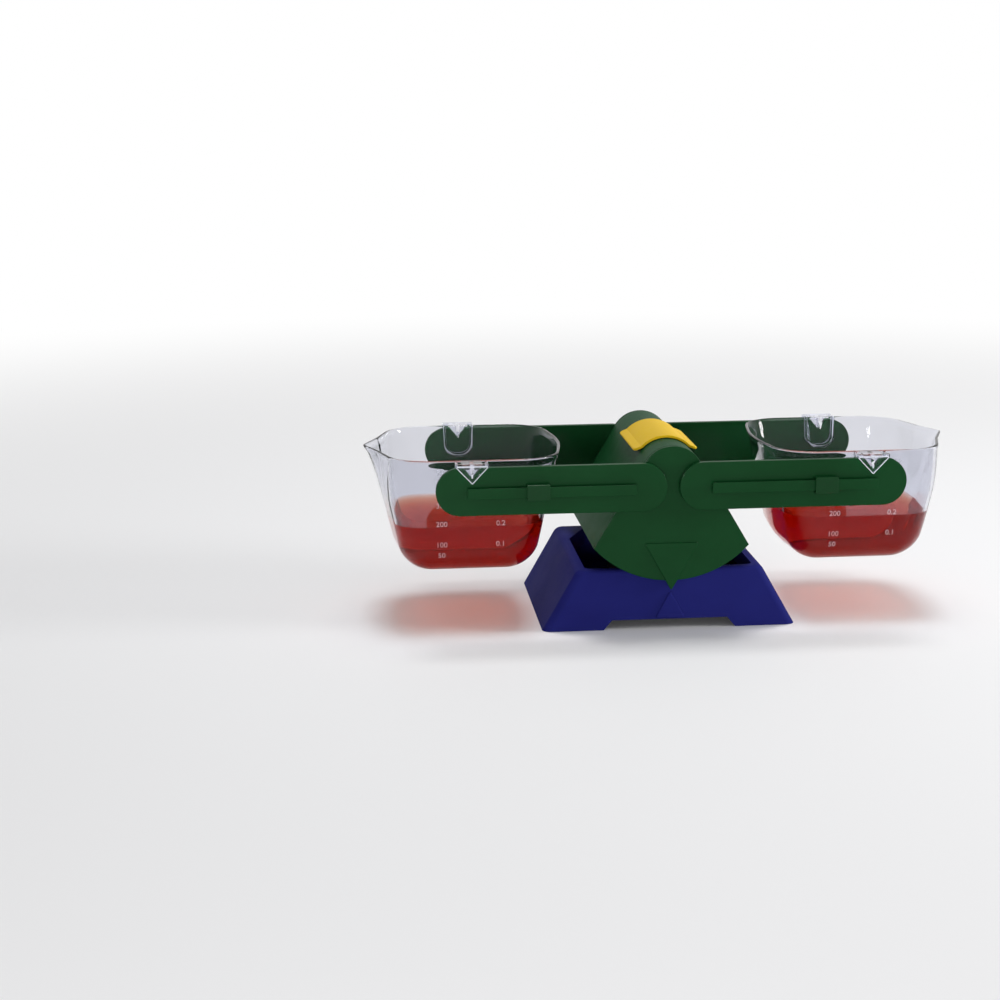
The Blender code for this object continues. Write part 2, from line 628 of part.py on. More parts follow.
def bucket_levels(wall, floor, above):
    """Sections from above the rim down to the rounded bottom, for the outside or the hollow."""
    bottom_round = BUCKET_BOTTOM_ROUND - floor
    side = RIM_BEAD + wall
    straight = BUCKET_DEPTH - floor - bottom_round
    drops = [-above, RIM_BEAD_HEIGHT, SPOUT_FADE / 3, SPOUT_FADE * 2 / 3, SPOUT_FADE]
    drops.append((SPOUT_FADE + straight) / 2)
    levels = [(drop, side) for drop in drops]
    for k in range(BOTTOM_STEPS + 1):
        angle = math.pi / 2 * k / BOTTOM_STEPS
        drop = straight + bottom_round * math.sin(angle)
        levels.append((drop, side + bottom_round * (1 - math.cos(angle))))
    return levels


def build_bucket(name, end, parent):
    """Clear tapered bucket with a pouring spout, and on each side a hanger that bridges its arm.

    A U-shaped bracket stands out from the wall, a bridge and a knife edge cross the arm, and a
    pointed flange hangs down outside it.
    """
    outside = bucket_levels(0.0, 0.0, -RIM_BEAD_HEIGHT)
    outside[0] = (0.0, 0.0)
    outside.insert(1, (RIM_BEAD_HEIGHT, 0.0))
    hollow = bucket_levels(BUCKET_WALL, BUCKET_FLOOR, OVERLAP)

    def skin(levels):
        sections = [(bucket_section(drop, inset), RIM_RISE - drop) for drop, inset in levels]
        return turned_x(loft(sections), end)

    bucket = piece(name, skin(outside), parent, "clear_plastic")
    knife_half = RIM_RISE * math.tan(HANGER_KNIFE_ANGLE)
    knife = symmetric([(0, 0), (knife_half, RIM_RISE)])
    shoulder = RIM_RISE - FLANGE_SHOULDER
    flange = symmetric([(0, -FLANGE_FALL), (FLANGE_HALF_WIDTH, shoulder), (FLANGE_HALF_WIDTH, RIM_RISE)])
    bracket = rounded([(BRACKET_HALF_WIDTH, RIM_RISE, 0), (-BRACKET_HALF_WIDTH, RIM_RISE, 0),
                       (-BRACKET_FOOT_HALF, -BRACKET_DROP, BRACKET_ROUND),
                       (BRACKET_FOOT_HALF, -BRACKET_DROP, BRACKET_ROUND)], ARC_STEP * 2)
    bridge = symmetric([(BRIDGE_HALF_WIDTH, RIM_RISE - BRIDGE_THICKNESS), (BRIDGE_HALF_WIDTH, RIM_RISE)])
    root = -RIM_HALF_WIDTH + BRACKET_ROOT
    flange_back = -ARM_OUTER_FACE - SEAT_GAP
    for side in (-1, 1):
        add(bucket, mirrored_y(prism(bracket, root, -ARM_INNER_FACE + BRACKET_ARM_GAP), side))
        add(bucket, mirrored_y(prism(bridge, root, flange_back - OVERLAP), side))
        add(bucket, mirrored_y(prism(knife, root, flange_back - OVERLAP), side))
        add(bucket, mirrored_y(prism(flange, flange_back, flange_back - FLANGE_THICKNESS), side))
    cut(bucket, skin(hollow))


def build_base():
    """The pieces that stand still."""
    build_base_shell()
    build_pivot_frame()
    build_frame_screws()
    build_bearing("bearing_front", -1)
    build_bearing("bearing_rear", 1)


def build_beam():
    """The pieces that tilt together about the knife bar's edge."""
    axis = bpy.data.objects["beam_axis"]
    build_housing(axis)
    build_knife_bar(axis)
    for side, side_name in ((-1, "front"), (1, "rear")):
        build_plate(side_name + "_plate", side, axis)
        build_arm_screws(side, side_name, axis)
        for end, end_name in ((-1, "left"), (1, "right")):
            build_arm(f"arm_{side_name}_{end_name}", side, end, axis)


def build_adjusters():
    """The saddle that turns on the drum and the two riders that slide on the front rails."""
    axis = bpy.data.objects["beam_axis"]
    build_saddle(axis)
    build_rider("rider_left", RIDER_LEFT_X, axis)
    build_rider("rider_right", RIDER_RIGHT_X, axis)


def build_buckets():
    """One bucket on each pair of arms, each built around its own hinge axis."""
    for end, name in ((-1, "left"), (1, "right")):
        hinge = empty(name + "_hinge", (end * HANGER_X, 0, PIVOT_HEIGHT + HINGE_RISE))
        build_bucket("bucket_" + name, end, hinge)


def main():
    for thing in list(bpy.data.objects):
        bpy.data.objects.remove(thing)
    empty("beam_axis", (0, 0, PIVOT_HEIGHT))
    build_base()
    build_beam()
    build_adjusters()
    build_buckets()
    bpy.context.view_layer.update()


main()
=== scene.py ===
"""Bucket balance: a moulded beam on a hollow base, with a clear bucket hung at each end."""

import bmesh
import bpy
import numpy as np
from mathutils import Matrix, Vector


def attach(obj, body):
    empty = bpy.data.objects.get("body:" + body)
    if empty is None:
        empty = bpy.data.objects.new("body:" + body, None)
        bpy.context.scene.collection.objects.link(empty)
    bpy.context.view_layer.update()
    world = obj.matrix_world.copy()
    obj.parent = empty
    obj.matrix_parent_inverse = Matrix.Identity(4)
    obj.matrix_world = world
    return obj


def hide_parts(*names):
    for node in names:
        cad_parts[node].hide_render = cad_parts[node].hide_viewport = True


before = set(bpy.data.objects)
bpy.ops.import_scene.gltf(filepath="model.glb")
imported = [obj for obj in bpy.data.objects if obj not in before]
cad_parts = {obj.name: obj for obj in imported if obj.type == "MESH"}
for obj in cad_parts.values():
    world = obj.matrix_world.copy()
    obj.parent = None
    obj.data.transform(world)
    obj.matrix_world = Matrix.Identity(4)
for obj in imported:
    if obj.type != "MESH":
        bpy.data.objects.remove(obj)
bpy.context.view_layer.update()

MM = 0.001
PIVOT = 93.0
SMOOTH = np.radians(32)

# Sizes in millimetres. The base's heights are measured from the floor, all others from the beam's axis
BASE_LENGTH, BASE_TOP_LENGTH, BASE_WIDTH, BASE_HEIGHT = 153.0, 111.0, 114.6, 37.0
BASE_CORNER, BASE_LEAST_CORNER, BASE_RIM_ROUND, BASE_WALL = 5.0, 2.2, 2.5, 2.2
OPENING_HALF_LENGTH, OPENING_HALF_WIDTH, OPENING_ROUND = 50.5, 51.8, 4.0
REAR_CUT_X, REAR_CUT_Y, LIP_DEPTH, LIP_WALL = 14.0, 30.0, 9.0, 1.6
NOTCH_LOW, NOTCH_HIGH, NOTCH_HEIGHT = 39.8, 34.8, 6.0
MARK_TOP, MARK_HEIGHT, MARK_HALF, MARK_RAISE = 23.8, 17.0, 9.0, 1.1
BOSS_X, BOSS_Y, BOSS_RADIUS, BOSS_LOW, BOSS_HEIGHT = 61.0, 38.0, 4.0, 9.1, 10.0
HOLE_RADIUS, HOLE_DEPTH = 1.5, 7.3

PLATE_INNER, PLATE_OUTER = 57.8, 60.3
DRUM_RADIUS, FAN_RADIUS, FAN_LEAN = 18.75, 62.5, np.radians(30.5)
HOUSING_HALF, HOUSING_WALL = 57.5, 2.2
POINTER_TOP, POINTER_TIP, POINTER_HALF, POINTER_RAISE = -39.3, -68.6, 16.4, 1.0
PLATE_HOLES = ((9.8, -3.0), (17.6, -13.4))

ARM_NEAR, ARM_FAR, ARM_HEIGHT, ARM_DROP = 3.7, 139.3, 28.5, 4.65
ARM_INNER_FACE, ARM_OUTER_FACE = 60.6, 64.6
HANGER_X, HINGE_RISE = 118.2, 4.0
NOTCH_ANGLE = np.radians(38)
RAIL_START, RAIL_END, RAIL_DROP = 22.4, 121.0, 5.2
RAIL_WEB_FACE, RAIL_FACE, RAIL_HALF, RAIL_WEB_HALF = 66.6, 68.2, 3.2, 1.5
RIDER_PLAY, RIDER_WALL, RIDER_HALF = 0.35, 1.3, 6.75
RIDER_LEFT, RIDER_RIGHT = -80.0, 90.0

SADDLE_INNER, SADDLE_OUTER = 19.1, 20.6
SADDLE_FRONT, SADDLE_REAR = -36.0, 20.0
SADDLE_SPAN, SADDLE_LIP, SADDLE_FLARE = np.radians(46), 5.5, np.radians(25)
SADDLE_EDGE, SADDLE_CORNER = 0.35, 3.0

RIM_RISE, BUCKET_DEPTH, RIM_HALF_WIDTH, RIM_HALF_LENGTH = 12.4, 72.4, 56.4, 51.0
WIDTH_TAPER, LENGTH_TAPER, WALL_DRAW, HOLLOW_DRAW = 0.20, 0.17, 0.5, 2.3
FOOT_ROUND, FLOOR_WALL = 16.0, 2.0
RIM_CORNER, CORNER_LOSS, CORNER_REACH = 26.0, 9.0, 50.0
RIM_BULGE, FOOT_BULGE, BULGE_ROUND = 9.0, 2.7, 130.0
SPOUT_TIP, SPOUT_SHOULDER, SPOUT_HALF, SPOUT_DEPTH, SPOUT_ROUND = 62.3, 42.5, 20.0, 30.0, 25.0
LIP_ROUND, LIP_REACH, LIP_DRAW = 0.9, 4.0, 0.95
RIB_TOP_HALF, RIB_HALF, RIB_LOW, RIB_ROUND, RIB_WALL = 9.5, 8.8, -7.4, 7.5, 1.5
HANGER_BACK = -ARM_OUTER_FACE - 0.3
WATER_RISE, WATER_DRAW = -29.5, 2.2

ENDS = ((-1, "left"), (1, "right"))
SIDES = ((-1, "front"), (1, "rear"))


def unit(vectors):
    """Each vector over its own length."""
    return vectors / np.linalg.norm(vectors, axis=-1, keepdims=True)


def corner_arcs(corners, steps):
    """Closed outline: each corner (u, v, radius) becomes an arc that touches both of its sides."""
    corners = np.array(corners, float)
    points, radius = corners[:, :2], corners[:, 2:]
    behind = unit(np.roll(points, 1, axis=0) - points)
    ahead = unit(np.roll(points, -1, axis=0) - points)
    half = np.arccos(np.clip((behind * ahead).sum(1, keepdims=True), -1, 1)) / 2
    turn = behind[:, :1] * ahead[:, 1:] - behind[:, 1:] * ahead[:, :1]
    sweep = np.copysign(np.pi - 2 * half, -turn)
    centre = points + unit(behind + ahead) * radius / np.sin(half)
    first = points + behind * radius / np.tan(half) - centre
    angle = sweep * np.linspace(0, 1, steps + 1)
    u = centre[:, :1] + np.cos(angle) * first[:, :1] - np.sin(angle) * first[:, 1:]
    v = centre[:, 1:] + np.sin(angle) * first[:, :1] + np.cos(angle) * first[:, 1:]
    return np.stack([u, v], -1).reshape(-1, 2)


def distinct(outline):
    """The outline without points that repeat the one before them."""
    return outline[np.linalg.norm(outline - np.roll(outline, 1, axis=0), axis=1) > 1e-4]


def rounded(corners, steps=6):
    """The outline of corner_arcs, each point once."""
    return distinct(corner_arcs(corners, steps))


def symmetric(half):
    """Corners alike on both sides of the middle line, from those of the right half."""
    return half + [(-u, v, radius) for u, v, radius in reversed(half) if u]


def about_rail(half):
    """Corners alike above and below the rail's middle, from heights above it."""
    return ([(y, z - RAIL_DROP, radius) for y, z, radius in half]
            + [(y, -z - RAIL_DROP, radius) for y, z, radius in reversed(half)])


def u_band(outer, inner):
    """Corners of a band along a U, from the right halves of its outer and inner lines."""
    return outer + [(-u, v, radius) for u, v, radius in outer[::-1] + inner[::-1]] + inner


def inset(outline, by):
    """Moves a closed outline inwards along the mean of its sides' normals, further at a corner."""
    following = np.roll(outline, -1, axis=0)
    ahead = unit(following - outline)
    area = (outline[:, 0] * following[:, 1] - outline[:, 1] * following[:, 0]).sum()
    normal = np.stack([-ahead[:, 1], ahead[:, 0]], -1) * np.sign(area)
    before = np.roll(normal, 1, axis=0)
    middle = unit(normal + before)
    return outline + middle * by / (middle * normal).sum(1, keepdims=True)


def linked(name, data):
    """Puts a mesh, curve, camera or lamp into the scene as an object."""
    thing = bpy.data.objects.new(name, data)
    bpy.context.collection.objects.link(thing)
    return thing


def skin(name, rows, last_cap=True):
    """Closed mesh over a grid in millimetres: each row is an outline that closes on itself, quads join it
    to the next row, and the end rows are capped."""
    count, columns = rows.shape[:2]
    index = np.arange(count * columns).reshape(count, columns)
    ahead = np.roll(index, -1, axis=1)
    quads = np.stack([index[:-1], ahead[:-1], ahead[1:], index[1:]], -1).reshape(-1, 4)
    mesh = bpy.data.meshes.new(name)
    caps = [index[0, ::-1].tolist()] + [index[-1].tolist()] * last_cap
    mesh.from_pydata(rows.reshape(-1, 3) * MM, [], quads.tolist() + caps)
    shape = bmesh.new()
    shape.from_mesh(mesh)
    if shape.calc_volume(signed=True) < 0:
        mesh.flip_normals()
    shape.free()
    return linked(name, mesh)


# For each axis, which of u, v and the place along it gives a point's x, y and z
AXES = {"X": (2, 0, 1), "Y": (0, 2, 1), "Z": (0, 1, 2)}


def placed(outlines, places, axis, lift=0.0):
    """Grid of points from outlines (u, v), each at its own place along the axis."""
    outlines = np.asarray(outlines, float)
    along = np.broadcast_to(np.asarray(places, float)[:, None, None], outlines.shape[:2] + (1,))
    grid = np.concatenate([outlines, along], -1)[..., list(AXES[axis])]
    return grid + (0, 0, lift)


def bar(name, outline, start, end, axis="Y", edge=0.4, lift=PIVOT, steps=3):
    """An outline carried along an axis. Round both end faces it draws in by a quarter round: by
    edge x (1 - sin a) at a distance of edge x (1 - cos a) from the face."""
    way = np.sign(end - start)
    angle = np.linspace(0, np.pi / 2, steps + 1) if edge else np.zeros(1)
    draw = edge * (1 - np.sin(angle))
    run = edge * (1 - np.cos(angle)) * way
    draws = np.concatenate([draw, draw[::-1]])
    places = np.concatenate([start + run, end - run[::-1]])
    return skin(name, placed([inset(outline, by) for by in draws], places, axis, lift))


def upright(name, outline, low, high, edge=0.0):
    """An outline carried up from one height above the floor to another."""
    return bar(name, outline, low, high, "Z", edge, lift=0)


def disc(u, v, radius, steps=32):
    """Points evenly round a circle."""
    angle = np.linspace(0, 2 * np.pi, steps, endpoint=False)
    return np.stack([u + radius * np.cos(angle), v + radius * np.sin(angle)], -1)


def merged(thing, adds=(), cuts=()):
    """One skin from solids that overlap: takes the added ones in, then the cutters out."""
    groups = []
    for operation, helpers in (("UNION", adds), ("DIFFERENCE", cuts)):
        if helpers:
            group = bpy.data.collections.new(operation)
            bpy.context.scene.collection.children.link(group)
            for helper in helpers:
                group.objects.link(helper)
            modifier = thing.modifiers.new(operation, "BOOLEAN")
            modifier.operation, modifier.solver = operation, "EXACT"
            modifier.operand_type, modifier.collection = "COLLECTION", group
            groups.append(group)
    applied(thing, [*adds, *cuts])
    for group in groups:
        bpy.data.collections.remove(group)
    return thing


def evaluated(thing):
    """The mesh that a curve or a piece's modifiers make."""
    bpy.context.view_layer.update()
    return bpy.data.meshes.new_from_object(thing.evaluated_get(bpy.context.evaluated_depsgraph_get()))


def applied(thing, spent=()):
    """Replaces a mesh by what its modifiers make of it, and drops the helpers."""
    mesh = evaluated(thing)
    thing.modifiers.clear()
    thing.data = mesh
    for helper in spent:
        bpy.data.objects.remove(helper)
    return thing


def softened(thing, width, angle):
    """Adds a bevel, in millimetres, on the edges that turn by more than an angle in degrees."""
    bevel = thing.modifiers.new("soft edges", "BEVEL")
    bevel.width, bevel.segments, bevel.limit_method = width * MM, 2, "ANGLE"
    bevel.angle_limit = np.radians(angle)
    return thing


def mirrored(thing, x=1, y=1):
    """Turns a mesh to the other side and keeps its faces outward."""
    thing.data.transform(Matrix.Diagonal((x, y, 1, 1)))
    if x * y < 0:
        thing.data.flip_normals()
    return thing


def finished(thing, material, body, replaces=(), angle=SMOOTH):
    """Shades a piece, gives it its material and ties it to the body that it moves with."""
    thing.data.shade_smooth()
    thing.data.set_sharp_from_angle(angle=angle)
    weighted = thing.modifiers.new("even shading", "WEIGHTED_NORMAL")
    weighted.keep_sharp = True
    thing.data.materials.clear()
    thing.data.materials.append(material)
    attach(thing, body)
    if replaces:
        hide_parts(*replaces)
    return thing


# Materials

def joined_output(tree, output, factor, first, second):
    """Feeds a tree's output with two shaders, mixed by a socket."""
    mixer = tree.nodes.new("ShaderNodeMixShader")
    for source, socket in zip((factor, first, second), mixer.inputs):
        tree.links.new(source, socket)
    tree.links.new(mixer.outputs[0], tree.nodes[output].inputs["Surface"])


def seen_rays(tree):
    """Socket that is 1 on a ray from the camera, off a gloss or through clear plastic, and 0 on light."""
    path = tree.nodes.new("ShaderNodeLightPath")
    share = path.outputs["Is Camera Ray"]
    for ray in ("Is Glossy Ray", "Is Transmission Ray"):
        either = tree.nodes.new("ShaderNodeMath")
        either.operation = "MAXIMUM"
        tree.links.new(share, either.inputs[0])
        tree.links.new(path.outputs[ray], either.inputs[1])
        share = either.outputs[0]
    return share


def linear(red, green, blue):
    """A screen colour, 0 to 255, as linear light."""
    value = np.array([red, green, blue]) / 255
    return (*np.where(value <= 0.04045, value / 12.92, ((value + 0.055) / 1.055) ** 2.4).tolist(), 1.0)


class Finish:
    """A material's node tree with short ways to add and join nodes."""

    def __init__(self, name):
        self.material = bpy.data.materials.new(name)
        self.material.use_nodes = True
        self.tree = self.material.node_tree
        self.nodes = self.tree.nodes
        self.shader = self.nodes["Principled BSDF"]
        self.place = self.add("ShaderNodeTexCoord").outputs["Object"]

    def add(self, kind, **values):
        """A new node; a value's name is a socket's with underscores, or one of the node's own settings."""
        node = self.nodes.new(kind)
        for name, value in values.items():
            socket = node.inputs.get(name.replace("_", " "))
            if socket is None:
                setattr(node, name, value)
            else:
                socket.default_value = value
        return node

    def join(self, source, target):
        """Links a node's output to another's input."""
        self.tree.links.new(source, target)

    def set(self, **values):
        """Sets constants on the shader's own sockets."""
        for name, value in values.items():
            self.shader.inputs[name.replace("_", " ")].default_value = value

    def noise(self, scale, detail=3.0, roughness=0.5, stretch=(1, 1, 1), turn=(0, 0, 0)):
        """Noise on the object's own coordinates, stretched and turned."""
        mapping = self.add("ShaderNodeMapping", Scale=stretch, Rotation=turn)
        noise = self.add("ShaderNodeTexNoise", Scale=scale, Detail=detail, Roughness=roughness)
        self.join(self.place, mapping.inputs["Vector"])
        self.join(mapping.outputs["Vector"], noise.inputs["Vector"])
        return noise.outputs["Fac"]

    def ramp(self, source, stops):
        """Colour ramp with stops (place, colour or grey)."""
        node = self.add("ShaderNodeValToRGB")
        bands = node.color_ramp.elements
        while len(bands) < len(stops):
            bands.new(0.5)
        for band, (place, colour) in zip(bands, stops):
            band.position = place
            band.color = colour if isinstance(colour, tuple) else (colour, colour, colour, 1)
        self.join(source, node.inputs["Fac"])
        return node.outputs["Color"]

    def mix(self, factor, first, second, blend="MIX"):
        """Mixes two colours, each a socket or a colour, by a socket or a number."""
        node = self.add("ShaderNodeMix", data_type="RGBA", blend_type=blend)
        for value, socket in ((factor, node.inputs[0]), (first, node.inputs[6]), (second, node.inputs[7])):
            if isinstance(value, bpy.types.NodeSocket):
                self.join(value, socket)
            else:
                socket.default_value = value
        return node.outputs[2]

    def spread(self, source, low, high):
        """Maps 0..1 to low..high."""
        node = self.add("ShaderNodeMapRange", To_Min=low, To_Max=high)
        self.join(source, node.inputs["Value"])
        return node.outputs["Result"]

    def bumps(self, *layers):
        """Chains bumps, each (height socket, distance in metres, strength)."""
        normal = None
        for height, distance, strength in layers:
            node = self.add("ShaderNodeBump", Distance=distance, Strength=strength)
            self.join(height, node.inputs["Height"])
            if normal:
                self.join(normal, node.inputs["Normal"])
            normal = node.outputs["Normal"]
        self.join(normal, self.shader.inputs["Normal"])

    def clear_shadow(self, colour):
        """Lets light through the piece where it casts a shadow, tinted by a colour."""
        through = self.add("ShaderNodeBsdfTransparent", Color=colour)
        path = self.add("ShaderNodeLightPath")
        joined_output(self.tree, "Material Output", path.outputs["Is Shadow Ray"],
                      self.shader.outputs[0], through.outputs[0])


def moulded_plastic(name, colour, pale, gloss, shine, coat=0.0):
    """Coloured plastic from a mould: faint flow clouds, a fine pebbled skin, hairline scratches, rubs."""
    finish = Finish(name)
    clouds = finish.noise(14, 4, 0.6, (1, 0.7, 1.3))
    tone = finish.mix(finish.ramp(clouds, [(0.3, 0.0), (0.75, 1.0)]), colour, pale)
    hairs = finish.noise(55, 2, 0.4, (0.6, 40, 22), (0.2, 0.3, 0.6))
    cross = finish.noise(50, 2, 0.4, (30, 30, 0.7), (0.5, 0.1, 0.2))
    scratch = finish.ramp(finish.mix(0.5, hairs, cross, "MULTIPLY"), [(0.47, 0.0), (0.56, 1.0)])
    faded = finish.mix(finish.spread(scratch, 0.0, 0.16), tone, pale)
    finish.join(faded, finish.shader.inputs["Base Color"])
    rub = finish.noise(38, 5, 0.65)
    rough = finish.mix(0.25, finish.spread(rub, gloss - 0.07, gloss + 0.13), scratch, "ADD")
    finish.join(rough, finish.shader.inputs["Roughness"])
    finish.set(IOR=1.5, Specular_IOR_Level=shine, Coat_Weight=coat, Coat_Roughness=0.1)
    finish.bumps((finish.noise(900, 2, 0.5), 0.00003, 0.35), (finish.noise(120, 2, 0.5), 0.00012, 0.18),
                 (scratch, 0.00002, 0.25))
    return finish.material


def clear_plastic(name, rough=0.0, clear=1.0):
    """Clear plastic with faint mould flow, light smears, and a shadow that lets light through."""
    finish = Finish(name)
    smears = finish.noise(30, 4, 0.6, (1, 1, 0.35))
    finish.join(finish.spread(finish.ramp(smears, [(0.66, 0.0), (0.85, 1.0)]), rough, rough + 0.03),
                finish.shader.inputs["Roughness"])
    finish.set(Base_Color=linear(230, 231, 238), IOR=1.25, Transmission_Weight=clear)
    finish.bumps((finish.noise(26, 2, 0.4, (1, 1, 0.3)), 0.0006, 0.15))
    finish.clear_shadow(linear(240, 242, 244))
    return finish.material


def tinted_water(name):
    """Red-orange water: clear, darker where there is more of it to look through."""
    finish = Finish(name)
    finish.set(Base_Color=linear(255, 240, 236), Roughness=0.0, IOR=1.1, Transmission_Weight=1.0)
    finish.bumps((finish.noise(60, 2, 0.5), 0.0006, 0.1))
    depth = finish.add("ShaderNodeVolumeAbsorption", Color=(0.90, 0.38, 0.0, 1.0), Density=110.0)
    finish.join(depth.outputs[0], finish.nodes["Material Output"].inputs["Volume"])
    finish.clear_shadow(linear(176, 172, 172))
    return finish.material


def bright_steel(name):
    """Drawn steel: fine lines along the bar, small dull spots."""
    finish = Finish(name)
    lines = finish.noise(300, 3, 0.6, (20, 0.6, 20))
    spots = finish.noise(260, 4, 0.7)
    tone = finish.mix(finish.ramp(spots, [(0.5, 0.0), (0.8, 0.6)]),
                      linear(196, 198, 200), linear(140, 138, 134))
    finish.join(tone, finish.shader.inputs["Base Color"])
    finish.join(finish.spread(lines, 0.18, 0.4), finish.shader.inputs["Roughness"])
    finish.set(Metallic=1.0)
    finish.bumps((lines, 0.00002, 0.3))
    return finish.material


GREEN = moulded_plastic("green moulded plastic", linear(13, 56, 27), linear(18, 66, 35),
                        gloss=0.46, shine=0.06)
POLISHED = moulded_plastic("polished green plastic", linear(7, 53, 22), linear(12, 62, 29),
                           gloss=0.46, shine=0.04, coat=0.12)
GLOSSY = moulded_plastic("glossy green plastic", linear(6, 50, 20), linear(10, 58, 26),
                         gloss=0.40, shine=0.04, coat=0.22)
BLUE = moulded_plastic("blue moulded plastic", linear(26, 28, 90), linear(32, 35, 103),
                       gloss=0.54, shine=0.02)
YELLOW = moulded_plastic("yellow moulded plastic", linear(212, 172, 14), linear(218, 182, 36),
                         gloss=0.48, shine=0.07)
DARK = moulded_plastic("dark frame plastic", linear(34, 36, 42), linear(52, 54, 60),
                       gloss=0.5, shine=0.3)
WHITE = moulded_plastic("white bearing plastic", linear(222, 222, 218), linear(236, 236, 232),
                        gloss=0.3, shine=0.4)
CLEAR = clear_plastic("clear moulded plastic")
FIGURES = clear_plastic("clear raised figures", rough=0.3, clear=0.8)
# Half-clear whitish strips on the hangers' edges: painted highlights, not beads of plastic
PAINTED_HIGHLIGHT = clear_plastic("clear painted highlight", rough=0.35, clear=0.5)
WATER = tinted_water("red water")
STEEL = bright_steel("bright steel")


# Camera, light and floor

def camera():
    """Camera fitted to points in the photograph: place, point looked at, roll and lens."""
    place, target = Vector((-0.1935, -1.0991, 0.3230)), Vector((-0.0964, 0.0, 0.0684))
    roll = np.radians(0.41)
    ahead = (target - place).normalized()
    right = ahead.cross(Vector((0, 0, 1))).normalized()
    up = right.cross(ahead)
    right, up = right * np.cos(roll) - up * np.sin(roll), up * np.cos(roll) + right * np.sin(roll)
    data = bpy.data.cameras.new("camera")
    data.lens, data.sensor_width, data.clip_start = 66.14, 36.0, 0.01
    thing = linked("camera", data)
    thing.matrix_world = Matrix((right, up, -ahead)).transposed().to_4x4()
    thing.location = place
    bpy.context.scene.camera = thing


def lamp(name, place, target, size, watts):
    """Square soft lamp aimed at a point, not seen through clear pieces."""
    data = bpy.data.lights.new(name, "AREA")
    data.shape, data.size, data.energy = "SQUARE", size, watts
    thing = linked(name, data)
    thing.location = place
    thing.rotation_euler = (Vector(target) - Vector(place)).to_track_quat("-Z", "Y").to_euler()
    thing.visible_transmission = False


def studio():
    """Even room light, a background seen as white, and soft lamps above, at the right and low in front."""
    scene = bpy.context.scene
    scene.view_settings.view_transform = "Standard"
    world = bpy.data.worlds.new("studio")
    world.use_nodes = True
    scene.world = world
    tree = world.node_tree
    room, white = tree.nodes["Background"], tree.nodes.new("ShaderNodeBackground")
    for background, strength in ((room, 0.36), (white, 1.0)):
        background.inputs["Color"].default_value = (1, 1, 1, 1)
        background.inputs["Strength"].default_value = strength
    joined_output(tree, "World Output", seen_rays(tree), room.outputs[0], white.outputs[0])
    lamp("overhead lamp", (0.05, 0.35, 1.5), (0, 0, 0), size=0.55, watts=12)
    lamp("key lamp", (1.4, -0.3, 0.35), (0, 0, 0.06), size=0.3, watts=13)
    lamp("front lamp", (-0.25, -1.35, 0.14), (0, 0, 0.06), size=0.3, watts=6.5)


def pale_floor():
    """Round pale floor; seen from afar it turns into the white background."""
    finish = Finish("pale floor")
    finish.set(Base_Color=(0.86, 0.86, 0.87, 1), Roughness=0.6, Specular_IOR_Level=0.2)
    finish.bumps((finish.noise(500, 2, 0.5), 0.00005, 0.1))
    reach = finish.add("ShaderNodeVectorMath", operation="LENGTH")
    finish.join(finish.place, reach.inputs[0])
    fade = finish.add("ShaderNodeMapRange", From_Min=0.35, From_Max=1.5, interpolation_type="SMOOTHSTEP")
    finish.join(reach.outputs["Value"], fade.inputs["Value"])
    factor = finish.add("ShaderNodeMath", operation="MULTIPLY")
    finish.join(fade.outputs["Result"], factor.inputs[0])
    finish.join(seen_rays(finish.tree), factor.inputs[1])
    white = finish.add("ShaderNodeEmission")
    joined_output(finish.tree, "Material Output", factor.outputs[0],
                  finish.shader.outputs[0], white.outputs[0])
    radii = np.concatenate([[1.0], np.geomspace(20, 6000, 24)])
    rings = np.stack([np.pad(disc(0, 0, radius, 96), ((0, 0), (0, 1))) for radius in radii])
    floor = skin("floor", rings, last_cap=False)
    floor.data.materials.append(finish.material)
    if floor.data.polygons[0].normal.z < 0:
        floor.data.flip_normals()


# Base

def base_half_length(height):
    """Half the base's length falls evenly from the foot to the top."""
    return (BASE_LENGTH - (BASE_LENGTH - BASE_TOP_LENGTH) * height / BASE_HEIGHT) / 2


def base_outline(height, draw):
    """Round-cornered rectangle of the base at a height, drawn in all round."""
    x, y = base_half_length(height) - draw, BASE_WIDTH / 2 - draw
    radius = max(BASE_CORNER - draw, BASE_LEAST_CORNER)
    return corner_arcs([(-x, -y, radius), (x, -y, radius), (x, y, radius), (-x, y, radius)], 10)


